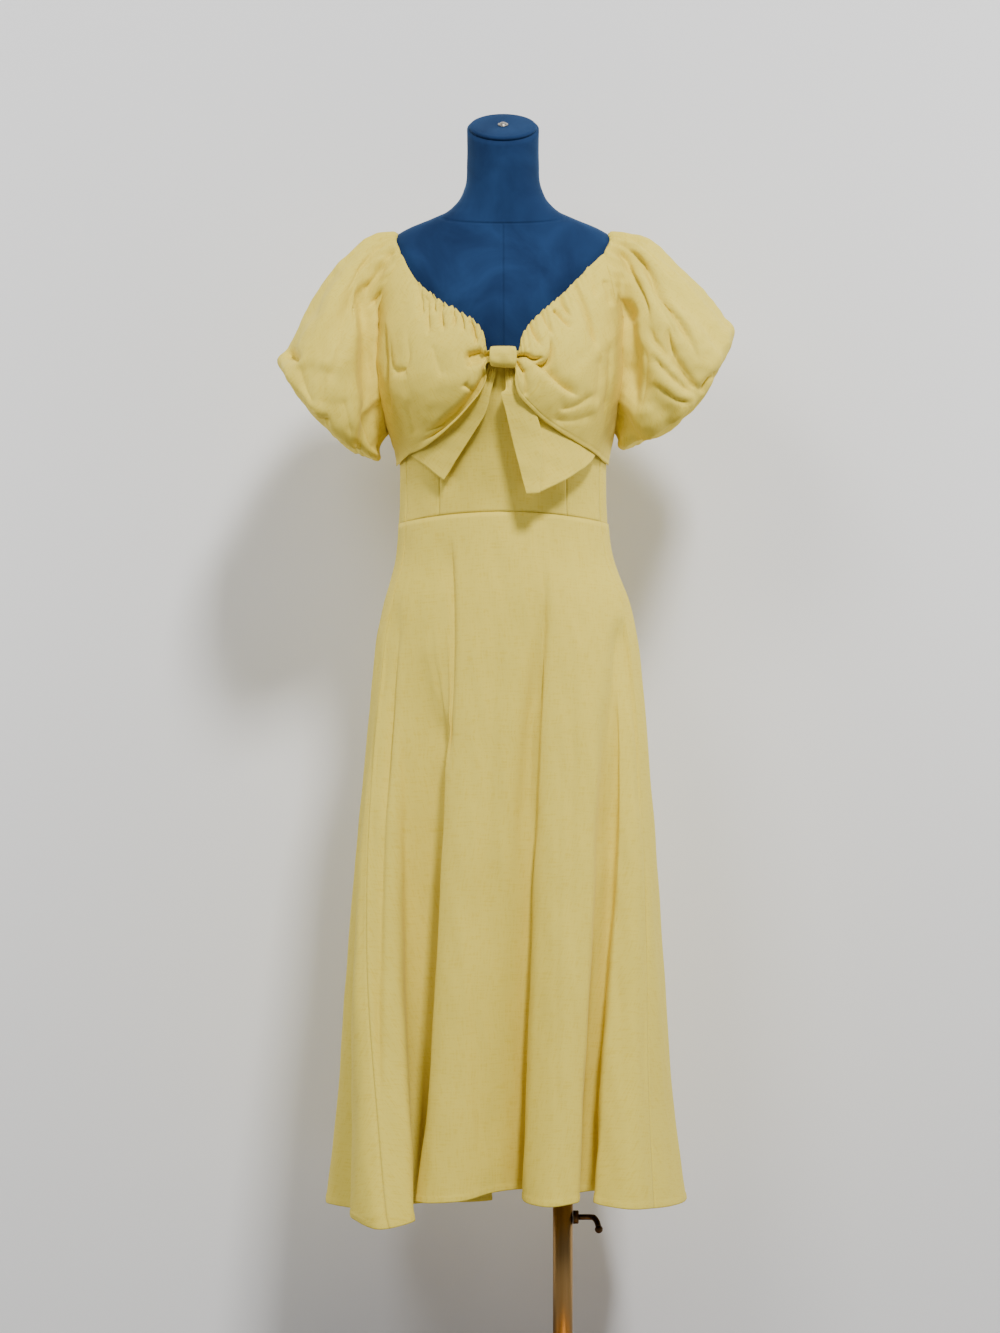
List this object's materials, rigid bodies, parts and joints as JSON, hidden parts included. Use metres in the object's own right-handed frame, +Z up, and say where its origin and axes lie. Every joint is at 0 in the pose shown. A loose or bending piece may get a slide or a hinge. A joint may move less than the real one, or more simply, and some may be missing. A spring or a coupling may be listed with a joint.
{
  "type": "puff sleeve midi dress on limbless dress form with stand",
  "caption": "Pale yellow midi dress with puff sleeves, a bow-tied bust and a flared skirt, on a limbless blue velvet dress form and a brass stand with a clamp.",
  "frame": {"origin": "centre of the base plate's underside, on the axis of the pole", "axes": "+Z up along the pole, -Y the front of the dress, +X the wearer's left, to the viewer's right from the front"},
  "size_m": [0.5561, 0.4205, 1.6037],
  "materials": {
    "yellow_woven_cloth": "plain weave, dull",
    "blue_velvet": "short pile",
    "bolt_steel": "satin",
    "polished_brass": "polished, a little aged",
    "dark_bronze": "darkened"
  },
  "bodies": {
    "stand": {"base_plate": "polished_brass", "outer_tube": "polished_brass", "clamp_nut": "dark_bronze"},
    "crank": {"clamp_crank": "dark_bronze"},
    "tube": {"inner_tube": "polished_brass"},
    "dressed_form": {"skirt_front": "yellow_woven_cloth", "skirt_back": "yellow_woven_cloth", "bodice_front_centre": "yellow_woven_cloth", "bodice_side_left": "yellow_woven_cloth", "bodice_side_right": "yellow_woven_cloth", "bodice_back": "yellow_woven_cloth", "bust_drape_left": "yellow_woven_cloth", "bust_drape_right": "yellow_woven_cloth", "sleeve_left": "yellow_woven_cloth", "sleeve_right": "yellow_woven_cloth", "bow_tail_left": "yellow_woven_cloth", "bow_tail_right": "yellow_woven_cloth", "bow_band": "yellow_woven_cloth", "form_torso": "blue_velvet", "neck_cap": "blue_velvet", "neck_bolt": "bolt_steel"}
  },
  "joints": [
    {"name": "clamp_turn", "type": "hinge", "parent": "stand", "child": "crank", "pos_m": [0.0128, 0, 0.253], "axis": [1, 0, 0], "continuous": true},
    {"name": "height_slide", "type": "slide", "parent": "stand", "child": "tube", "axis": [0, 0, 1], "range_m": [-0.07, 0.12]},
    {"name": "form_swivel", "type": "hinge", "parent": "tube", "child": "dressed_form", "pos_m": [0, 0, 0.78], "axis": [0, 0, 1], "continuous": true}
  ]
}
